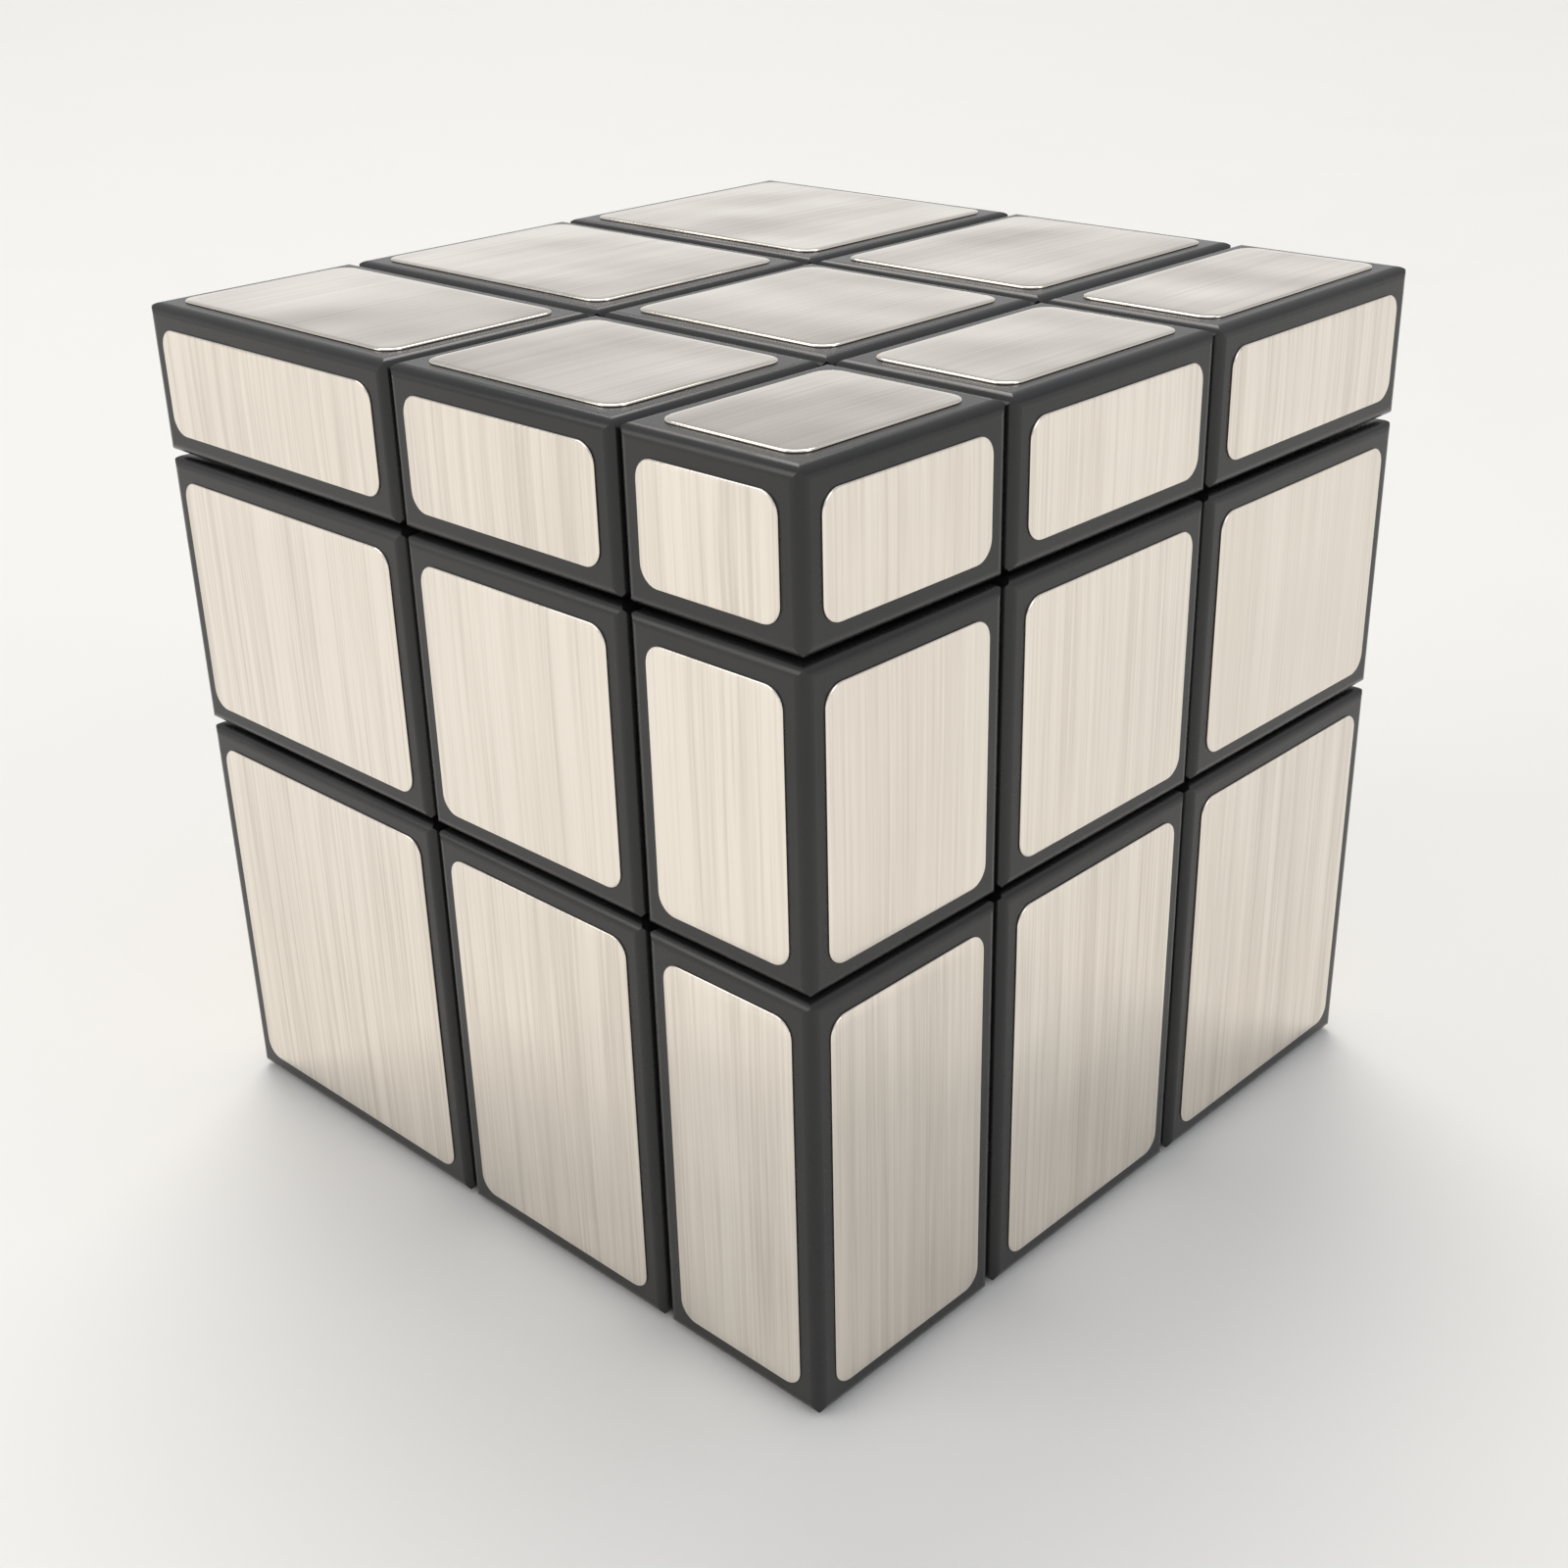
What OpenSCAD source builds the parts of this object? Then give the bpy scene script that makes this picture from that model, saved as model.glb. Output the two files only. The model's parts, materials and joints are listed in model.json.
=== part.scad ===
// Mirror block cube: a 3 x 3 x 3 turning puzzle whose layers all differ in thickness.
// Millimetres, +Z up, standing on Z = 0 with the origin in the middle of its bottom face.
// -Y is the front face and +X is the right face.
//
// The blocks are held the way such cubes hold them. A core with six arms carries six screws.
// Each screw and its spring hold a centre block. Every centre block overlaps the feet of the
// edge blocks beside it, and every edge block overlaps the feet of the corner blocks beside it.
// The feet fill a ball round the core, in an outer and an inner level, so any layer can turn.

/* [Cube] */
// Thickness of a middle layer; the cube is three of these across
middle_t = 19; // [19:0.5:24]
// What the right layer lacks and the left layer has on top of the middle layer's thickness
side_step = 6; // [0:0.5:7]
// What the front layer lacks and the back layer has on top of the middle layer's thickness
depth_step = 3; // [0:0.5:7]
// What the top layer lacks and the bottom layer has on top of the middle layer's thickness
height_step = 9; // [0:0.5:9]
// Radius of a block's rounded edges
block_edge_r = 0.7; // [0.3:0.1:1.2]

/* [Film] */
// Thickness of the silvered film
film_t = 0.2; // [0.1:0.05:0.4]
// Width of the black border that the film leaves on its block
film_border = 1.4; // [0.6:0.1:2.5]
// Corner radius of the film
film_corner_r = 1.2; // [0.4:0.1:2.5]

/* [Mechanism] */
// Gap between neighbouring blocks, and between their feet
block_gap = 0.3; // [0.2:0.05:0.5]
// How far the outer level of feet reaches under the neighbouring blocks
lip = 2.5; // [2:0.1:3.2]
// Width of a centre block's square stem, which the inner level of feet surrounds
stem_w = 9; // [8.6:0.1:11]
// Thickness of the outer level of feet
outer_level_t = 4.7; // [4:0.1:5.2]
// Thickness of the inner level of feet
inner_level_t = 5.5; // [4.8:0.1:6]
// Radius of the bore that holds a spring in its centre block
bore_r = 3.2; // [3.1:0.1:3.9]
// Thickness of the floor under the spring, which the screw passes through
seat_floor_t = 2; // [1.5:0.1:2.4]
// Side of the square cap that closes a centre block
cap_w = 15; // [12:0.5:16.5]
// Wall thickness of the hollow blocks
wall_t = 1.5; // [1.2:0.1:2]

/* [Hidden] */
$fn = 64;

// The whole cube, and how far its core sits from the middle
cube_w = 3 * middle_t;
off_centre = [side_step, -depth_step, height_step];
core_pos = off_centre + [0, 0, cube_w / 2];

// Half widths of a middle layer at its surface, in the outer level and in the inner level
half = middle_t / 2;
half_1 = half - lip;
half_2 = stem_w / 2;
g = block_gap / 2;

// The ball of feet: it clears the inner corner of a corner block by the neck
neck_t = 1.75;
neck_overlap = 0.5;
ball_r = half * sqrt(3) + neck_t;
mid_r = ball_r - outer_level_t;
inner_r = mid_r - inner_level_t;
beyond = ball_r + 5;

// A foot's post fills its block's inner corner out to here, past the ball
post_cover = 1;
post_out = sqrt(pow(ball_r + post_cover, 2) - half * half);

// Core, measured outwards along an arm from its centre
core_ball_r = inner_r - 1.8;
core_arm_r = 3.4;
core_arm_u = inner_r + 1;

// Centre block
stem_u = core_arm_u + block_gap;
seat_u = stem_u + seat_floor_t;
shank_hole_r = 1.6;
tube_wall = 1.2;
cap_t = 1;
cap_fit = 0.05;
cap_ledge = 0.8;
cap_plug_h = 0.5;
cap_corner_r = 1;
cap_clearance = 0.3;
thinnest_u = cube_w / 2 - max(side_step, depth_step, height_step) - film_t;

// Screw: its head ends just under the plug of the cap on the thinnest layer
shank_r = 1.25;
shank_l_in_core = 5.5;
shank_fit = 0.02;
shank_u = core_arm_u - shank_l_in_core;
head_r = 2.8;
head_top_r = 2.1;
head_rim_h = 0.9;
head_h = 1.6;
head_u = thinnest_u - cap_t - cap_plug_h - cap_clearance - head_h;
recess_w = 3;
recess_slot = 0.7;
recess_depth = 0.9;

// Washer and spring between the seat and the screw's head
washer_fit = 0.3;
washer_hole_r = 1.5;
washer_t = 0.4;
spring_u = seat_u + washer_t;
spring_l = head_u - spring_u;
spring_turns = 4;
wire_r = 0.275;
coil_r = 2.4;

// The six directions of the core's arms: name, outward direction, turn from +Z
ARMS = [
  ["top", [0, 0, 1], [0, 0, 0]],
  ["bottom", [0, 0, -1], [180, 0, 0]],
  ["front", [0, -1, 0], [90, 0, 0]],
  ["back", [0, 1, 0], [-90, 0, 0]],
  ["right", [1, 0, 0], [0, 90, 0]],
  ["left", [-1, 0, 0], [0, -90, 0]]
];

// A block's cell is [x, y, z], each -1, 0 or 1, seen from the core
EDGES = [
  for (z = [1, 0, -1], y = [-1, 0, 1], x = [-1, 0, 1])
    if (abs(x) + abs(y) + abs(z) == 2) [x, y, z]
];
CORNERS = [for (z = [1, -1], y = [-1, 1], x = [-1, 1]) [x, y, z]];
LAYER = [for (y = [-1, 0, 1], x = [-1, 0, 1]) [x, y]];

function cell_name(c) = str(
  c.z > 0 ? "_top" : c.z < 0 ? "_bottom" : "",
  c.y < 0 ? "_front" : c.y > 0 ? "_back" : "",
  c.x < 0 ? "_left" : c.x > 0 ? "_right" : ""
);

// Where a block begins and ends along axis a (0, 1, 2), seen from the core
function low(i, a) = i < 0 ? -cube_w / 2 - off_centre[a] + film_t : i == 0 ? -half + g : half + g;
function high(i, a) = i < 0 ? -half - g : i == 0 ? half - g : cube_w / 2 - off_centre[a] - film_t;
function low_corner(c) = [for (a = [0, 1, 2]) low(c[a], a)];
function high_corner(c) = [for (a = [0, 1, 2]) high(c[a], a)];

// Distance from the core's centre to the outer face of the centre block in direction c
function face_u(c) = max([for (a = [0, 1, 2]) c[a] > 0 ? high(1, a) : c[a] < 0 ? -low(-1, a) : 0]);

module rounded_rect(w, h, r) {
  translate([r, 0]) square([w - 2 * r, h]);
  translate([0, r]) square([w, h - 2 * r]);
  for (x = [r, w - r], y = [r, h - r]) translate([x, y]) circle(r = r);
}

// A box of size s whose four edges along axis a are rounded
module rounded_prism(s, a, r) {
  if (a == 0) rotate([90, 0, 90]) linear_extrude(height = s.x) rounded_rect(s.y, s.z, r);
  if (a == 1) translate([0, s.y, 0]) rotate([90, 0, 0])
    linear_extrude(height = s.y) rounded_rect(s.x, s.z, r);
  if (a == 2) linear_extrude(height = s.z) rounded_rect(s.x, s.y, r);
}

// The visible part of a block, with all its edges rounded
module block_box(c) {
  s = high_corner(c) - low_corner(c);
  translate(low_corner(c)) intersection() {
    rounded_prism(s, 0, block_edge_r);
    rounded_prism(s, 1, block_edge_r);
    rounded_prism(s, 2, block_edge_r);
  }
}

// The part of a cell that lies within across_h of the middle and beyond outward_h of it
module cell_region(c, across_h, outward_h) {
  lo = [for (i = c) i < 0 ? -beyond : i == 0 ? -across_h + g : outward_h + g];
  hi = [for (i = c) i < 0 ? -outward_h - g : i == 0 ? across_h - g : beyond];
  translate(lo) cube(hi - lo);
}

// One level of a foot inside the ball of radius r, with the neck that joins it to the level above
module foot_level(c, h, h_above, r, thickness) {
  difference() {
    union() {
      intersection() {
        cell_region(c, h, h);
        sphere(r = r - g);
      }
      intersection() {
        cell_region(c, h, h_above);
        sphere(r = r + neck_overlap);
      }
    }
    sphere(r = r - thickness + g);
  }
}

// The inner corner of a block that belongs to its foot's post
module post_region(c) {
  intersection() {
    cell_region(c, half_1, half);
    cube(2 * post_out, center = true);
  }
}

// The hollow inside a block's walls
module block_cavity(c) {
  wall = [wall_t, wall_t, wall_t];
  lo = low_corner(c) + wall;
  translate(lo) cube(high_corner(c) - wall - lo);
}

// A block's hollow shell, seen from the core; its foot's post closes the opening in its inner corner
module block_shell(c) {
  difference() {
    block_box(c);
    sphere(r = ball_r + g);
    post_region(c);
    block_cavity(c);
  }
}

// A foot, seen from the core; only edge and centre feet reach the inner level
module foot(c) {
  difference() {
    post_region(c);
    sphere(r = ball_r - neck_overlap);
  }
  foot_level(c, half_1, half, ball_r, outer_level_t);
  if (min([for (i = c) abs(i)]) == 0) foot_level(c, half_2, half_1, mid_r, inner_level_t);
}

// A centre block and its stem in one, seen from the core
module centre_block(c) {
  difference() {
    block_box(c);
    sphere(r = ball_r + g);
  }
  foot_level(c, half_1, half, ball_r, outer_level_t);
  foot_level(c, half_2, half_1, mid_r, inner_level_t);
}

// Puts children on an arm of the core, with +Z pointing outwards
module on_arm(arm) {
  translate(core_pos) rotate(arm[2]) children();
}

module core() {
  color([0.88, 0.87, 0.84]) difference() {
    union() {
      translate(core_pos) sphere(r = core_ball_r);
      for (arm = ARMS) on_arm(arm) cylinder(r = core_arm_r, h = core_arm_u);
    }
    for (arm = ARMS) on_arm(arm) translate([0, 0, shank_u - shank_fit])
      cylinder(r = shank_r + shank_fit, h = core_arm_u);
  }
}

module screw() {
  translate([0, 0, shank_u]) cylinder(r = shank_r, h = head_u - shank_u + head_rim_h / 2);
  translate([0, 0, head_u]) difference() {
    union() {
      cylinder(r = head_r, h = head_rim_h);
      translate([0, 0, head_rim_h]) cylinder(r1 = head_r, r2 = head_top_r, h = head_h - head_rim_h);
    }
    for (turn = [0, 90]) rotate(turn)
      translate([-recess_w / 2, -recess_slot / 2, head_h - recess_depth])
      cube([recess_w, recess_slot, head_h]);
  }
}

module core_screws() {
  color([0.7, 0.7, 0.72]) for (arm = ARMS) on_arm(arm) screw();
}

module seat_washer(arm) {
  color([0.72, 0.6, 0.35]) on_arm(arm) translate([0, 0, seat_u]) difference() {
    cylinder(r = bore_r - washer_fit, h = washer_t);
    translate([0, 0, -washer_t]) cylinder(r = washer_hole_r, h = 3 * washer_t);
  }
}

// A compression spring: a six-sided wire swept along a helix
module spring(arm) {
  sides = 6;
  rings_per_turn = 12;
  rings = spring_turns * rings_per_turn;
  rise = spring_l - 2 * wire_r;
  points = [
    for (k = [0 : rings], s = [0 : sides - 1])
      let (turn = 360 * spring_turns * k / rings, round = 360 * s / sides)
      let (r = coil_r + wire_r * cos(round), up = rise * k / rings + wire_r * (1 + sin(round)))
        [r * cos(turn), r * sin(turn), spring_u + up]
  ];
  walls = [
    for (k = [0 : rings - 1], s = [0 : sides - 1])
      let (next = (s + 1) % sides, a = k * sides)
        [a + s, a + sides + s, a + sides + next, a + next]
  ];
  ends = [[for (s = [0 : sides - 1]) s], [for (s = [sides - 1 : -1 : 0]) rings * sides + s]];
  color([0.75, 0.75, 0.77]) on_arm(arm) polyhedron(points = points, faces = concat(walls, ends));
}

module centre(arm) {
  top_u = face_u(arm[1]);
  pocket_w = cap_w + 2 * cap_fit;
  well_w = cap_w - 2 * cap_ledge;
  well_u = ball_r + wall_t;
  color([0.06, 0.06, 0.06]) difference() {
    translate(core_pos) centre_block(arm[1]);
    on_arm(arm) {
      cylinder(r = half, h = stem_u);
      cylinder(r = shank_hole_r, h = top_u);
      translate([0, 0, seat_u]) cylinder(r = bore_r, h = top_u);
      translate([-pocket_w / 2, -pocket_w / 2, top_u - cap_t])
        rounded_prism([pocket_w, pocket_w, 2 * cap_t], 2, cap_corner_r);
      if (top_u - cap_t > well_u + wall_t) difference() {
        translate([-well_w / 2, -well_w / 2, well_u])
          rounded_prism([well_w, well_w, top_u - well_u], 2, cap_corner_r);
        cylinder(r = bore_r + tube_wall, h = top_u - cap_t);
      }
    }
  }
}

module cap(arm) {
  top_u = face_u(arm[1]);
  color([0.08, 0.08, 0.08]) on_arm(arm) {
    translate([-cap_w / 2, -cap_w / 2, top_u - cap_t])
      rounded_prism([cap_w, cap_w, cap_t], 2, cap_corner_r);
    translate([0, 0, top_u - cap_t - cap_plug_h])
      cylinder(r = bore_r - cap_fit, h = cap_plug_h + cap_t / 2);
  }
}

module edge(c) {
  color([0.06, 0.06, 0.06]) translate(core_pos) block_shell(c);
}

module corner(c) {
  color([0.06, 0.06, 0.06]) translate(core_pos) block_shell(c);
}

// The feet of all the blocks in cells at height z
module feet(cells, z) {
  color([0.1, 0.1, 0.1]) translate(core_pos) for (c = cells) if (c.z == z) foot(c);
}

// The film on the outer face of block c that looks along axis a
module film(c, a) {
  outer_u = c[a] > 0 ? high(1, a) : low(-1, a) - film_t;
  lo = [for (b = [0, 1, 2]) b == a ? outer_u : low(c[b], b) + film_border];
  hi = [for (b = [0, 1, 2]) b != a ? high(c[b], b) - film_border : lo[a] + film_t];
  translate(core_pos + lo) rounded_prism(hi - lo, a, film_corner_r);
}

module flat_films(z) {
  color([0.78, 0.78, 0.76]) for (c = LAYER) film([c.x, c.y, z], 2);
}

// The films round the sides of the blocks at height z, without the four side centres
module side_films(z) {
  color([0.78, 0.78, 0.76]) for (c = LAYER, a = [0, 1]) {
    if (c[a] != 0 && (z != 0 || c[1 - a] != 0)) film([c.x, c.y, z], a);
  }
}

module centre_film(c, a) {
  color([0.78, 0.78, 0.76]) film(c, a);
}

core();
core_screws();
for (arm = ARMS) {
  seat_washer(arm);
  spring(arm);
  centre(arm);
  cap(arm);
}
for (c = EDGES) edge(c);
for (c = CORNERS) corner(c);
feet(EDGES, 1);  // edge_feet_top
feet(EDGES, 0);  // edge_feet_middle
feet(EDGES, -1);  // edge_feet_bottom
feet(CORNERS, 1);  // corner_feet_top
feet(CORNERS, -1);  // corner_feet_bottom
flat_films(1);  // films_top_face
side_films(1);  // films_top_sides
side_films(0);  // films_middle_edges
side_films(-1);  // films_bottom_sides
flat_films(-1);  // films_bottom_face
centre_film([0, -1, 0], 1);  // film_front_centre
centre_film([0, 1, 0], 1);  // film_back_centre
centre_film([1, 0, 0], 0);  // film_right_centre
centre_film([-1, 0, 0], 0);  // film_left_centre
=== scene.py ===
"""Looks of the mirror block cube: black blocks that carry silver film, round a sprung core."""

import json
import math
import random

import bmesh
import bpy
from mathutils import Euler, Matrix, Vector

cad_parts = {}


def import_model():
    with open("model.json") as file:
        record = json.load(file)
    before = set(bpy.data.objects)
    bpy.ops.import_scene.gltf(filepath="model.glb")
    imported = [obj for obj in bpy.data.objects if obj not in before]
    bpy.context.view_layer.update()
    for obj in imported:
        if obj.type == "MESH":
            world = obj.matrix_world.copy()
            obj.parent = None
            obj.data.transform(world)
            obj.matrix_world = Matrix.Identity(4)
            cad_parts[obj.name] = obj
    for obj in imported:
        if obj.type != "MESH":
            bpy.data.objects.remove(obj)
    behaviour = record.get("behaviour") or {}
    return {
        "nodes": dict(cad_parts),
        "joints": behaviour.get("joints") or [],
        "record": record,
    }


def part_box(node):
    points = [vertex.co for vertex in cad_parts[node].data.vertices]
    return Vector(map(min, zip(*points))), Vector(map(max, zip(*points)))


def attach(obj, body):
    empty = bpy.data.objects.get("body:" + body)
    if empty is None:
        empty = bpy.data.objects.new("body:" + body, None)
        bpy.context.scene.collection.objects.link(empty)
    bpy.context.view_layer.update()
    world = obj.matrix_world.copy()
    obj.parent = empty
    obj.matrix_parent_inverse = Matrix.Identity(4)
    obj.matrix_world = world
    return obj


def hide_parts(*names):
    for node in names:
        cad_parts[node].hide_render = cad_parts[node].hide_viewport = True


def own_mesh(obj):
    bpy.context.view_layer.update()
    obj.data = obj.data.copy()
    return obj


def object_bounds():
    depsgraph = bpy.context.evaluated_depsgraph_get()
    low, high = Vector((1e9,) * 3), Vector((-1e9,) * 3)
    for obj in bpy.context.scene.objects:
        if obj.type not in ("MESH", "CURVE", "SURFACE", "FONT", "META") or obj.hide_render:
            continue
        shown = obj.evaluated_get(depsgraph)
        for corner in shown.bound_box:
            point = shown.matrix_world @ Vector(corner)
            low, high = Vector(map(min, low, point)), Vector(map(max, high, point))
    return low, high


MM = 0.001

# Decimals of a length in metres, down to a micron
MICRON_DECIMALS = 6

# Camera, in millimetres in the cube's own frame, and how near and far it sees in metres
CAMERA_AT = Vector((92.3, -95.4, 84.9))
CAMERA_FORWARD = Vector((-0.6309, 0.6461, -0.4296))
CAMERA_RIGHT = Vector((0.7231, 0.6903, -0.0238))
CAMERA_LENS = 47.85
CAMERA_SENSOR = 36.0
CAMERA_NEAR = 0.005
CAMERA_FAR = 20.0

# Studio: the floor, and the world's colours from the horizon at 0 to straight up at 1
FLOOR_REACH = 8.0
WORLD_STOPS = (
    (0.0, (0.885, 0.875, 0.86)),
    (0.14, (1.0, 1.0, 1.0)),
    (0.36, (0.55, 0.55, 0.56)),
    (0.8, (0.84, 0.86, 0.89)),
)
WORLD_STRENGTH = 0.9

# Nearly all the values of a noise texture lie between these two
NOISE_LOW = 0.3
NOISE_HIGH = 0.7

# Film finish: the colours of its tones, how small the scale along the grain is beside the scale
# across it, and how a sheet's random number moves its textures and gives it a second number
FILM_STOPS = (
    (0.38, (0.71, 0.65, 0.575)),
    (0.49, (0.81, 0.745, 0.665)),
    (0.6, (0.88, 0.82, 0.735)),
)
FILM_GRAIN = 0.012
FILM_ISLAND_SHIFT = (0.31, 0.53, 0.17)
FILM_ISLAND_REPEATS = 7.0

# Film shape: a thin sheet whose edge is rolled down onto its block.
# FILM_EDGE holds (inset, height), where a height is a share of the film's thickness.
# FILM_RINGS holds the sizes of the rings inside the edge, as shares of the film's outline.
FILM_EDGE_TOP = 0.7
FILM_EDGE = ((0.0, 0.0), (0.0, 0.45), (0.03 * MM, 0.62), (0.09 * MM, FILM_EDGE_TOP))
FILM_RINGS = (0.94, 0.86, 0.76, 0.64, 0.5, 0.36, 0.22, 0.1)
FILM_CROWN = 0.25
FILM_CROWN_POWER = 0.7
FILM_CORNER_R = 1.2 * MM
FILM_CORNER_STEPS = 8
FILM_SIDE_STEP = 2.0 * MM
FILM_SIDE_STEPS_MIN = 2

# Film waves: how many, how high, how many radians a metre, how fast they rise from the edge,
# and the angles that their ways and phases are drawn from, a little more than a full turn
FILM_WAVES = 3
FILM_WAVE = 0.035
FILM_WAVE_NUMBERS = (250, 620)
FILM_WAVE_RISE = 4
FILM_WAVE_ANGLES = (0, 6.3)

# A film's corners in turn, each with the signs of its place and the way to the next one
FILM_CORNERS = (
    ((1, 1), (-1, 0)),
    ((-1, 1), (0, -1)),
    ((-1, -1), (1, 0)),
    ((1, -1), (0, 1)),
)

# Springs: round wire, wound with a closed turn at each end
SPRING_WIRE_R = 0.275 * MM
SPRING_TURNS = 4
SPRING_END_TURNS = 1
SPRING_STEPS = 30
SPRING_WIRE_SIDES = 10

# Screws: a self-tapping thread under a domed head with a cross recess.
# The crest's half width is a share of the pitch, and the tip's share is of the shank's radius.
SCREW_GRIP = 5.5 * MM
SCREW_PITCH = 0.9 * MM
SCREW_STEPS_PER_PITCH = 6
SCREW_ROOT_R = 0.92 * MM
SCREW_CREST_R = 1.24 * MM
SCREW_CREST_HALF_W = 0.3
SCREW_TIP_L = 1.2 * MM
SCREW_TIP_SHARE = 0.3
SCREW_SIDES = 32
HEAD_R = 2.75 * MM
HEAD_H = 1.6 * MM
HEAD_RIM_H = 0.5 * MM
HEAD_DOME_RINGS = 24

# Rounding under the head's rim: (share of the rim's height, share of the head's radius)
HEAD_ROUNDING = ((0.0, 0.97), (0.2, 1.0))

RECESS_REACH = 1.55 * MM
RECESS_HALF_W = 0.5 * MM
RECESS_DEPTH = 0.9 * MM
RECESS_WALL = 0.15 * MM


# ---------------------------------------------------------------- materials


def fill_ramp(node, stops):
    """Gives a colour ramp node its (position, colour) stops."""
    elements = node.color_ramp.elements
    while len(elements) < len(stops):
        elements.new(0.5)
    for element, (position, colour) in zip(elements, stops):
        element.position = position
        element.color = (*colour, 1.0)


class Nodes:
    """A short way to write a material's node tree."""

    def __init__(self, name):
        self.material = bpy.data.materials.new(name)
        self.material.use_nodes = True
        self.tree = self.material.node_tree
        self.shader = self.tree.nodes["Principled BSDF"]
        self.place = self.add("ShaderNodeTexCoord").outputs["Object"]

    def add(self, kind, **settings):
        node = self.tree.nodes.new(kind)
        for key, value in settings.items():
            setattr(node, key, value)
        return node

    def link(self, source, target):
        self.tree.links.new(source, target)

    def stretch(self, scale):
        """Object coordinates, scaled by (x, y, z)."""
        mapping = self.add("ShaderNodeMapping")
        mapping.inputs["Scale"].default_value = scale
        self.link(self.place, mapping.inputs["Vector"])
        return mapping.outputs["Vector"]

    def noise(self, scale, detail=3.0, roughness=0.5, vector=None):
        node = self.add("ShaderNodeTexNoise")
        node.inputs["Scale"].default_value = scale
        node.inputs["Detail"].default_value = detail
        node.inputs["Roughness"].default_value = roughness
        self.link(vector or self.place, node.inputs["Vector"])
        return node.outputs["Fac"]

    def span(self, value, low, high, from_low=NOISE_LOW, from_high=NOISE_HIGH):
        """value, from from_low..from_high onto low..high."""
        node = self.add("ShaderNodeMapRange")
        node.inputs["From Min"].default_value = from_low
        node.inputs["From Max"].default_value = from_high
        node.inputs["To Min"].default_value = low
        node.inputs["To Max"].default_value = high
        self.link(value, node.inputs["Value"])
        return node.outputs["Result"]

    def math(self, operation, *values):
        """A Math node over values, each a socket or a number."""
        node = self.add("ShaderNodeMath", operation=operation)
        for socket, value in zip(node.inputs, values):
            if isinstance(value, bpy.types.NodeSocket):
                self.link(value, socket)
            else:
                socket.default_value = value
        return node.outputs[0]

    def shift_islands(self, by):
        """Gives each separate sheet of the mesh its own part of the textures.

        Returns the sheet's own random number, from 0 to 1.
        """
        island = self.add("ShaderNodeNewGeometry").outputs["Random Per Island"]
        node = self.add("ShaderNodeVectorMath", operation="MULTIPLY_ADD")
        node.inputs[1].default_value = by
        self.link(island, node.inputs[0])
        self.link(self.place, node.inputs[2])
        self.place = node.outputs[0]
        return island

    def mixed(self, *shares):
        """The sum of (value, share) pairs."""
        total = 0.0
        for value, share in shares:
            total = self.math("MULTIPLY_ADD", value, share, total)
        return total

    def colours(self, value, stops):
        """A colour ramp of (position, colour) stops."""
        node = self.add("ShaderNodeValToRGB")
        fill_ramp(node, stops)
        self.link(value, node.inputs["Fac"])
        return node.outputs["Color"]

    def between(self, noise, low, high):
        """A colour that goes from low to high with a noise."""
        return self.colours(noise, ((NOISE_LOW, low), (NOISE_HIGH, high)))

    def bump(self, height, depth, onto=None):
        """A bump of the given depth in metres, laid over the bump onto."""
        node = self.add("ShaderNodeBump")
        node.inputs["Strength"].default_value = 1.0
        node.inputs["Distance"].default_value = depth
        self.link(height, node.inputs["Height"])
        if onto:
            self.link(onto, node.inputs["Normal"])
        return node.outputs["Normal"]

    def set(self, **values):
        """Constant values of the shader's sockets."""
        for name, value in values.items():
            self.shader.inputs[name].default_value = value

    def finish(self, colour, roughness, normal=None):
        """The material, once these sources are linked to its shader."""
        self.link(colour, self.shader.inputs["Base Color"])
        self.link(roughness, self.shader.inputs["Roughness"])
        if normal:
            self.link(normal, self.shader.inputs["Normal"])
        return self.material


def black_plastic():
    """Moulded black plastic: faint orange peel, cloudy gloss and light handling scuffs."""
    look = Nodes("black_plastic")
    clouds = look.noise(90.0, detail=4.0)
    scuffed = look.stretch((260.0, 2100.0, 700.0))
    scuffs = look.noise(1.0, detail=5.0, roughness=0.7, vector=scuffed)
    colour = look.between(clouds, (0.008, 0.008, 0.0085), (0.014, 0.0135, 0.0135))
    dull = look.span(scuffs, 0.0, 0.12, from_low=0.56, from_high=0.74)
    roughness = look.math("ADD", look.span(clouds, 0.2, 0.32), dull)
    fine_peel = look.bump(look.noise(1400.0, detail=2.0), 0.003 * MM)
    peel = look.bump(look.noise(320.0, detail=1.0), 0.01 * MM, onto=fine_peel)
    look.set(IOR=1.5)
    return look.finish(colour, roughness, peel)


def foot_plastic():
    """Black plastic of the feet: moulded matt, and polished where the feet slide."""
    look = Nodes("foot_plastic")
    clouds = look.noise(240.0, detail=4.0)
    colour = look.between(clouds, (0.014, 0.014, 0.015), (0.024, 0.024, 0.025))
    peel = look.bump(look.noise(2200.0), 0.006 * MM)
    return look.finish(colour, look.span(clouds, 0.32, 0.5), peel)


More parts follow.
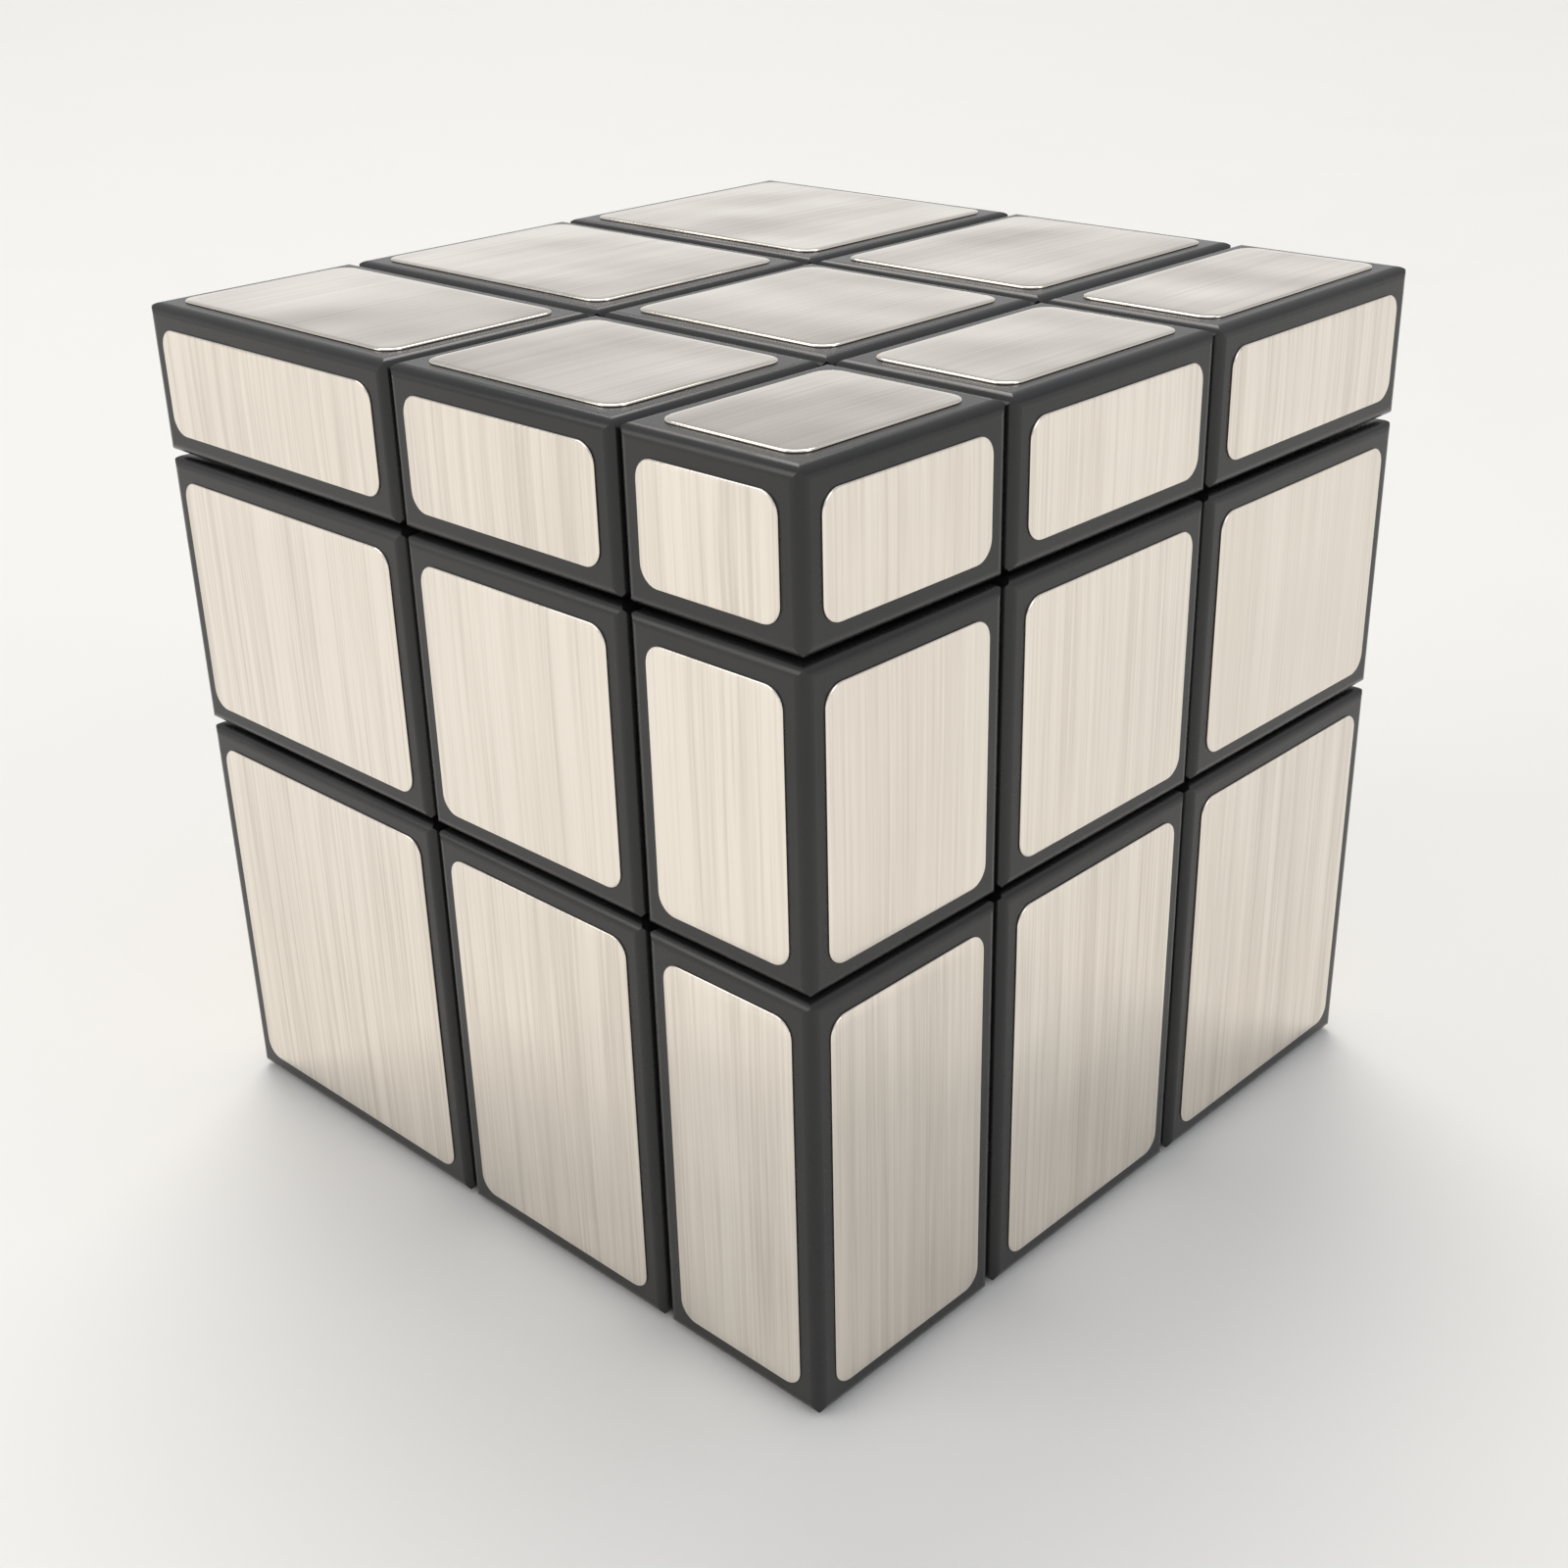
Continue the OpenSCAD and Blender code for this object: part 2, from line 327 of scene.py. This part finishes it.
def mirror_film(name, grain):
    """Silver film with a brushed grain along axis grain, ivory in some streaks and slightly wavy.

    Each sheet has its own streaks, contrast and tone.
    """
    look = Nodes(name)
    island = look.shift_islands(FILM_ISLAND_SHIFT)
    across = Vector((1.0, 1.0, 1.0))
    across[grain] = FILM_GRAIN

    def brushed(scale, detail, roughness):
        return look.noise(1.0, detail, roughness, vector=look.stretch(across * scale))

    fine = brushed(5200.0, detail=3.0, roughness=0.55)
    streaks = brushed(1300.0, detail=4.0, roughness=0.6)
    broad = brushed(330.0, detail=2.0, roughness=0.5)
    waves = look.noise(75.0, detail=1.0)
    streaky = look.mixed((fine, 0.4), (streaks, 0.4), (broad, 0.2))
    second_number = look.math("FRACT", look.math("MULTIPLY", island, FILM_ISLAND_REPEATS))
    contrast = look.span(second_number, 0.4, 1.3, from_low=0.0, from_high=1.0)
    middle = look.span(island, 0.47, 0.54, from_low=0.0, from_high=1.0)
    tone = look.math("MULTIPLY_ADD", look.math("SUBTRACT", streaky, 0.5), contrast, middle)
    roughness = look.span(tone, 0.1, 0.04, from_low=0.38, from_high=0.62)
    wavy = look.bump(waves, 0.6 * MM)
    streaked = look.bump(streaks, 0.008 * MM, onto=wavy)
    surface = look.bump(fine, 0.003 * MM, onto=streaked)
    look.set(Metallic=1.0)
    return look.finish(look.colours(tone, FILM_STOPS), roughness, surface)


def core_plastic():
    """Pale satin moulding of the core."""
    look = Nodes("core_plastic")
    clouds = look.noise(160.0)
    colour = look.between(clouds, (0.74, 0.73, 0.69), (0.82, 0.81, 0.77))
    peel = look.bump(look.noise(1800.0), 0.01 * MM)
    return look.finish(colour, look.span(clouds, 0.42, 0.55), peel)


def plated_steel():
    """Zinc-plated steel of the screws and springs, with drawing marks."""
    look = Nodes("plated_steel")
    marks = look.noise(2600.0, detail=4.0, roughness=0.65)
    colour = look.between(marks, (0.5, 0.5, 0.51), (0.68, 0.68, 0.69))
    look.set(Metallic=1.0)
    return look.finish(colour, look.span(marks, 0.22, 0.4), look.bump(marks, 0.008 * MM))


def brass():
    """Stamped brass of the seat washers."""
    look = Nodes("brass")
    marks = look.noise(1900.0, detail=4.0, roughness=0.6)
    colour = look.between(marks, (0.62, 0.46, 0.2), (0.8, 0.64, 0.34))
    look.set(Metallic=1.0)
    return look.finish(colour, look.span(marks, 0.25, 0.42), look.bump(marks, 0.008 * MM))


def pale_floor():
    """Matt off-white of the floor."""
    look = Nodes("pale_floor")
    grain = look.noise(35.0, detail=4.0)
    colour = look.between(grain, (0.815, 0.805, 0.785), (0.825, 0.815, 0.795))
    return look.finish(colour, look.span(grain, 0.55, 0.65))


# ---------------------------------------------------------------- pieces


def paint(obj, material):
    """Makes material the only one that obj has."""
    obj.data.materials.clear()
    obj.data.materials.append(material)


def add_piece(name, mesh, body, node):
    """A smooth object made of mesh, which rides on body and stands for the CAD node."""
    data = bpy.data.meshes.new(name)
    mesh.to_mesh(data)
    mesh.free()
    data.shade_smooth()
    piece = bpy.data.objects.new(name, data)
    bpy.context.scene.collection.objects.link(piece)
    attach(piece, body)
    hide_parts(node)
    return piece


def unit_vector(axis, sign):
    """The unit vector along axis 0, 1 or 2, forward or backward by sign."""
    vector = Vector((0.0, 0.0, 0.0))
    vector[axis] = sign
    return vector


def axes_round(outward):
    """Two unit vectors that are square to each other and to outward, itself along an axis."""
    sideways = Vector((outward.y, outward.z, outward.x))
    return sideways, outward.cross(sideways)


def angles_round(count):
    """So many even steps round a full turn."""
    return [2 * math.pi * k / count for k in range(count)]


def spoke(first, second, angle):
    """The unit vector at an angle from first towards second."""
    return first * math.cos(angle) + second * math.sin(angle)


def join_rings(mesh, rings):
    """Walls from each ring of vertices to the next one."""
    for before, after in zip(rings, rings[1:]):
        for k in range(len(before)):
            n = (k + 1) % len(before)
            mesh.faces.new((before[k], before[n], after[n], after[k]))


def close_ring(mesh, ring, top):
    """A fan of faces from a ring of vertices to the vertex top."""
    for k in range(len(ring)):
        mesh.faces.new((ring[k], ring[(k + 1) % len(ring)], top))


# ---------------------------------------------------------------- films


def take_solid(waiting):
    """The places of all the vertices of one solid, which are taken out of waiting."""
    reached = [waiting.pop()]
    places = []
    while reached:
        vert = reached.pop()
        places.append(vert.co.copy())
        for edge in vert.link_edges:
            other = edge.other_vert(vert)
            if other in waiting:
                waiting.remove(other)
                reached.append(other)
    return places


def plates(obj):
    """The boxes of the separate solids in a CAD node, in the order of their middles.

    Each is its (lowest, highest) corners.
    """
    mesh = bmesh.new()
    mesh.from_mesh(obj.data)
    bmesh.ops.remove_doubles(mesh, verts=mesh.verts, dist=0.001 * MM)
    waiting = set(mesh.verts)
    boxes = []
    while waiting:
        places = take_solid(waiting)
        low = Vector([min(place[axis] for place in places) for axis in range(3)])
        high = Vector([max(place[axis] for place in places) for axis in range(3)])
        boxes.append((low, high))
    mesh.free()
    return sorted(boxes, key=lambda box: [round(x, MICRON_DECIMALS) for x in box[0] + box[1]])


def film_outline(half_w, half_h, r):
    """Points round a rectangle of half sides half_w and half_h, whose corners have radius r."""
    points = []
    for quarter, ((sign_x, sign_y), way) in enumerate(FILM_CORNERS):
        for k in range(FILM_CORNER_STEPS + 1):
            angle = math.radians(90 * (quarter + k / FILM_CORNER_STEPS))
            x = sign_x * (half_w - r) + r * math.cos(angle)
            y = sign_y * (half_h - r) + r * math.sin(angle)
            points.append(Vector((x, y)))
        side = 2 * (half_w - r) if way[0] else 2 * (half_h - r)
        steps = max(FILM_SIDE_STEPS_MIN, round(side / FILM_SIDE_STEP))
        start = points[-1]
        points += [start + Vector(way) * side * k / steps for k in range(1, steps)]
    return points


def film_wave(rng):
    """A wave across a film: its way, as long as its radians a metre, and its phase."""
    turn = Euler((0, 0, rng.uniform(*FILM_WAVE_ANGLES))).to_matrix().to_2x2()
    way = turn @ Vector((rng.uniform(*FILM_WAVE_NUMBERS), 0))
    return way, rng.uniform(*FILM_WAVE_ANGLES)


def film_height(point, half_w, half_h, waves):
    """The film's height above its block at point, as a share of its thickness."""
    crown = (1 - (point.x / half_w) ** 2) * (1 - (point.y / half_h) ** 2)
    ripple = sum(math.sin(point.dot(way) + phase) for way, phase in waves) / len(waves)
    risen = min(1.0, FILM_WAVE_RISE * crown)
    return FILM_EDGE_TOP + FILM_CROWN * crown ** FILM_CROWN_POWER + FILM_WAVE * ripple * risen


def add_film(mesh, low, high, centre, rng):
    """One film on the plate low..high, whose thin side faces away from the cube's centre."""
    size = high - low
    middle = (low + high) / 2
    axis = min(range(3), key=lambda k: size[k])
    outward = unit_vector(axis, 1.0 if middle[axis] > centre[axis] else -1.0)
    upward = unit_vector(1 if axis == 2 else 2, 1.0)
    along = upward.cross(outward)
    half_w = abs(size.dot(along)) / 2
    half_h = abs(size.dot(upward)) / 2
    base = middle - outward * size[axis] / 2
    waves = [film_wave(rng) for _ in range(FILM_WAVES)]
    outline = film_outline(half_w, half_h, FILM_CORNER_R)

    def add_vert(point, height):
        on_block = base + along * point.x + upward * point.y
        return mesh.verts.new(on_block + outward * height * size[axis])

    def add_top_vert(point):
        return add_vert(point, film_height(point, half_w, half_h, waves))

    rings = []
    for inset, height in FILM_EDGE:
        scale = Vector(((half_w - inset) / half_w, (half_h - inset) / half_h))
        ring = [Vector((point.x * scale.x, point.y * scale.y)) for point in outline]
        rings.append([add_vert(point, height) for point in ring])
    for scale in FILM_RINGS:
        rings.append([add_top_vert(point * scale) for point in outline])
    join_rings(mesh, rings)
    top = add_top_vert(Vector((0, 0)))
    close_ring(mesh, rings[-1], top)
    mesh.faces.new(list(reversed(rings[0])))


def film_piece(node, obj, body, centre):
    """All the films of one CAD node, as one piece."""
    rng = random.Random(node)
    mesh = bmesh.new()
    for low, high in plates(obj):
        add_film(mesh, low, high, centre, rng)
    return add_piece(node + "_sheet", mesh, body, node)


# ---------------------------------------------------------------- screws


def thread_radius(height, angle):
    """The shank's radius at a height above its tip."""
    turn = (height / SCREW_PITCH - angle / (2 * math.pi)) % 1
    crest = max(0.0, 1 - abs(turn - 0.5) / SCREW_CREST_HALF_W)
    taper = min(1.0, SCREW_TIP_SHARE + (1 - SCREW_TIP_SHARE) * height / SCREW_TIP_L)
    return (SCREW_ROOT_R + (SCREW_CREST_R - SCREW_ROOT_R) * crest) * taper


def dome_height(r, angle):
    """The head's height above its underside, with the cross recess sunk into its dome."""
    dome = HEAD_RIM_H + (HEAD_H - HEAD_RIM_H) * math.sqrt(1 - (r / HEAD_R) ** 2)
    near, far = sorted((abs(r * math.cos(angle)), abs(r * math.sin(angle))))
    wall = min(max((RECESS_HALF_W - near) / RECESS_WALL, 0.0), 1.0)
    end = min(max((RECESS_REACH - far) / RECESS_WALL, 0.0), 1.0)
    return dome - RECESS_DEPTH * wall * end


def screw_profile(tip_u, head_u, angles):
    """The screw's surface from its tip up: rings of (place along its axis, radius), by angle."""
    steps = round((head_u - tip_u) / SCREW_PITCH * SCREW_STEPS_PER_PITCH)
    heights = [(head_u - tip_u) * k / steps for k in range(steps + 1)]
    profile = [[(tip_u + h, thread_radius(h, angle)) for angle in angles] for h in heights]
    for rise, width in HEAD_ROUNDING:
        profile.append([(head_u + HEAD_RIM_H * rise, HEAD_R * width)] * len(angles))
    for k in range(HEAD_DOME_RINGS):
        r = HEAD_R * (1 - k / HEAD_DOME_RINGS)
        profile.append([(head_u + dome_height(r, angle), r) for angle in angles])
    return profile


def add_screw(mesh, core_centre, outward, tip_u, head_u):
    """One screw, whose tip and underside of the head lie at tip_u and head_u along outward."""
    sideways, across = axes_round(outward)
    angles = angles_round(SCREW_SIDES)
    spokes = [spoke(sideways, across, angle) for angle in angles]
    rings = []
    for outline in screw_profile(tip_u, head_u, angles):
        places = [core_centre + outward * u + way * r for way, (u, r) in zip(spokes, outline)]
        rings.append([mesh.verts.new(place) for place in places])
    join_rings(mesh, rings)
    mesh.faces.new(rings[0])
    top = mesh.verts.new(core_centre + outward * (head_u + dome_height(0.0, 0.0)))
    close_ring(mesh, rings[-1], top)


def screws_piece(node, body):
    """All the screws, driven into the core's arms."""
    core_low, core_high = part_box("core")
    core_centre = (core_low + core_high) / 2
    tip_u = core_high.z - core_centre.z - SCREW_GRIP
    head_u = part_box(node)[1].z - core_centre.z - HEAD_H
    mesh = bmesh.new()
    for axis in range(3):
        for sign in (1.0, -1.0):
            add_screw(mesh, core_centre, unit_vector(axis, sign), tip_u, head_u)
    bmesh.ops.recalc_face_normals(mesh, faces=mesh.faces)
    return add_piece(node + "_threaded", mesh, body, node)


# ---------------------------------------------------------------- springs


def wire_height(turn, length):
    """The height of the wire's middle after so many turns, from the spring's inner end."""
    end_pitch = 2 * SPRING_WIRE_R
    open_turns = SPRING_TURNS - 2 * SPRING_END_TURNS
    open_pitch = (length - (1 + 2 * SPRING_END_TURNS) * end_pitch) / open_turns
    opened = min(max(turn - SPRING_END_TURNS, 0.0), open_turns)
    return SPRING_WIRE_R + open_pitch * opened + end_pitch * (turn - opened)


def spring_piece(node, body, joint):
    """The spring in a CAD node's place, wound along the axis of the joint that pulls its layer
    outward.
    """
    low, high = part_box(node)
    middle = (low + high) / 2
    outward = Vector(joint["axis"])
    sideways, across = axes_round(outward)
    length = abs((high - low).dot(outward))
    coil_r = abs((high - low).dot(sideways)) / 2 - SPRING_WIRE_R
    inner_end = middle - outward * length / 2
    mesh = bmesh.new()
    rings = []
    for k in range(SPRING_TURNS * SPRING_STEPS + 1):
        turn = k / SPRING_STEPS
        radial = spoke(sideways, across, 2 * math.pi * turn)
        wire = inner_end + radial * coil_r + outward * wire_height(turn, length)
        offsets = [spoke(radial, outward, angle) for angle in angles_round(SPRING_WIRE_SIDES)]
        rings.append([mesh.verts.new(wire + offset * SPRING_WIRE_R) for offset in offsets])
    join_rings(mesh, rings)
    mesh.faces.new(rings[0])
    mesh.faces.new(rings[-1])
    bmesh.ops.recalc_face_normals(mesh, faces=mesh.faces)
    piece = add_piece(node + "_coil", mesh, body, node)
    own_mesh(piece)
    return piece


# ---------------------------------------------------------------- stage


def make_camera():
    """The camera, in front of the cube, to its right and above it."""
    data = bpy.data.cameras.new("camera")
    data.lens = CAMERA_LENS
    data.sensor_width = CAMERA_SENSOR
    data.clip_start = CAMERA_NEAR
    data.clip_end = CAMERA_FAR
    camera = bpy.data.objects.new("camera", data)
    bpy.context.scene.collection.objects.link(camera)
    back = -CAMERA_FORWARD.normalized()
    up = back.cross(CAMERA_RIGHT).normalized()
    right = up.cross(back)
    turned = Matrix((right, up, back)).transposed().to_4x4()
    camera.matrix_world = Matrix.Translation(CAMERA_AT * MM) @ turned
    bpy.context.scene.camera = camera


def make_floor():
    """A flat square under the cube that reaches far beyond the picture."""
    far = FLOOR_REACH
    corners = [(-far, -far, 0), (far, -far, 0), (far, far, 0), (-far, far, 0)]
    mesh = bpy.data.meshes.new("floor")
    mesh.from_pydata(corners, [], [(0, 1, 2, 3)])
    floor = bpy.data.objects.new("floor", mesh)
    bpy.context.scene.collection.objects.link(floor)
    paint(floor, pale_floor())


def make_world():
    """A studio whose brightness depends on height alone, as pale as the floor at its horizon."""
    world = bpy.data.worlds.new("studio")
    world.use_nodes = True
    tree = world.node_tree
    place = tree.nodes.new("ShaderNodeTexCoord")
    split = tree.nodes.new("ShaderNodeSeparateXYZ")
    ramp = tree.nodes.new("ShaderNodeValToRGB")
    fill_ramp(ramp, WORLD_STOPS)
    tree.links.new(place.outputs["Generated"], split.inputs[0])
    tree.links.new(split.outputs["Z"], ramp.inputs["Fac"])
    background = tree.nodes["Background"]
    tree.links.new(ramp.outputs["Color"], background.inputs["Color"])
    background.inputs["Strength"].default_value = WORLD_STRENGTH
    bpy.context.scene.world = world
    bpy.context.scene.view_settings.view_transform = "Standard"


def add_light(data, at, aim, strength, colour):
    """Places a light at a point and turns it to the point aim."""
    data.energy = strength
    data.color = colour
    light = bpy.data.objects.new(data.name, data)
    bpy.context.scene.collection.objects.link(light)
    light.location = at
    light.rotation_euler = (Vector(aim) - Vector(at)).to_track_quat("-Z", "Y").to_euler()


def soft_light(name, at, aim, size, power, colour):
    """A rectangular soft box, size (wide, high)."""
    data = bpy.data.lights.new(name, "AREA")
    data.shape = "RECTANGLE"
    data.size, data.size_y = size
    add_light(data, at, aim, power, colour)


def even_light(name, at, aim, spread, strength, colour):
    """A light that is equally strong all over the floor, as wide as spread in degrees."""
    data = bpy.data.lights.new(name, "SUN")
    data.angle = math.radians(spread)
    add_light(data, at, aim, strength, colour)


def make_lights(aim):
    """A warm key light behind the cube on its left, and soft ones in front and on the right."""
    even_light(
        "key", at=(-0.35, 0.3, 0.62), aim=aim,
        spread=38.0, strength=1.2, colour=(1.0, 0.95, 0.87),
    )
    soft_light(
        "front", at=(-0.4, -0.7, 0.45), aim=aim,
        size=(0.6, 0.35), power=1.6, colour=(1.0, 0.97, 0.92),
    )
    soft_light(
        "side", at=(0.75, 0.1, 0.4), aim=aim,
        size=(0.35, 0.5), power=1.0, colour=(0.9, 0.94, 1.0),
    )


# ---------------------------------------------------------------- the cube


def main():
    """Sets the stage, then paints every CAD node or puts a finer piece in its place."""
    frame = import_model()
    cad_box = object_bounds()
    low, high = (Vector(p) for p in cad_box[:2])
    centre = (low + high) / 2
    make_camera()
    make_floor()
    make_world()
    make_lights(centre)
    looks = {
        "black_plastic": black_plastic(),
        "foot_plastic": foot_plastic(),
        "core_plastic": core_plastic(),
        "steel": plated_steel(),
        "brass": brass(),
    }
    side_film = mirror_film("mirror_film_upright", 2)
    flat_film = mirror_film("mirror_film_flat", 1)
    record = frame["record"]
    slots = {part["node"]: part["material_slot"] for part in record["subparts"]}
    bodies = record["behaviour"]["bodies"]
    body_of = {node: body for body, nodes in bodies.items() for node in nodes}
    pulls = {
        joint["deforming_nodes"][0]["node"]: joint
        for joint in frame["joints"]
        if joint.get("deforming_nodes")
    }
    for node, obj in frame["nodes"].items():
        if slots[node] == "mirror_film":
            film = flat_film if node.endswith("_face") else side_film
            paint(film_piece(node, obj, body_of[node], centre), film)
        elif node == "core_screws":
            paint(screws_piece(node, body_of[node]), looks["steel"])
        elif node in pulls:
            paint(spring_piece(node, body_of[node], pulls[node]), looks["steel"])
        else:
            paint(obj, looks[slots[node]])


main()
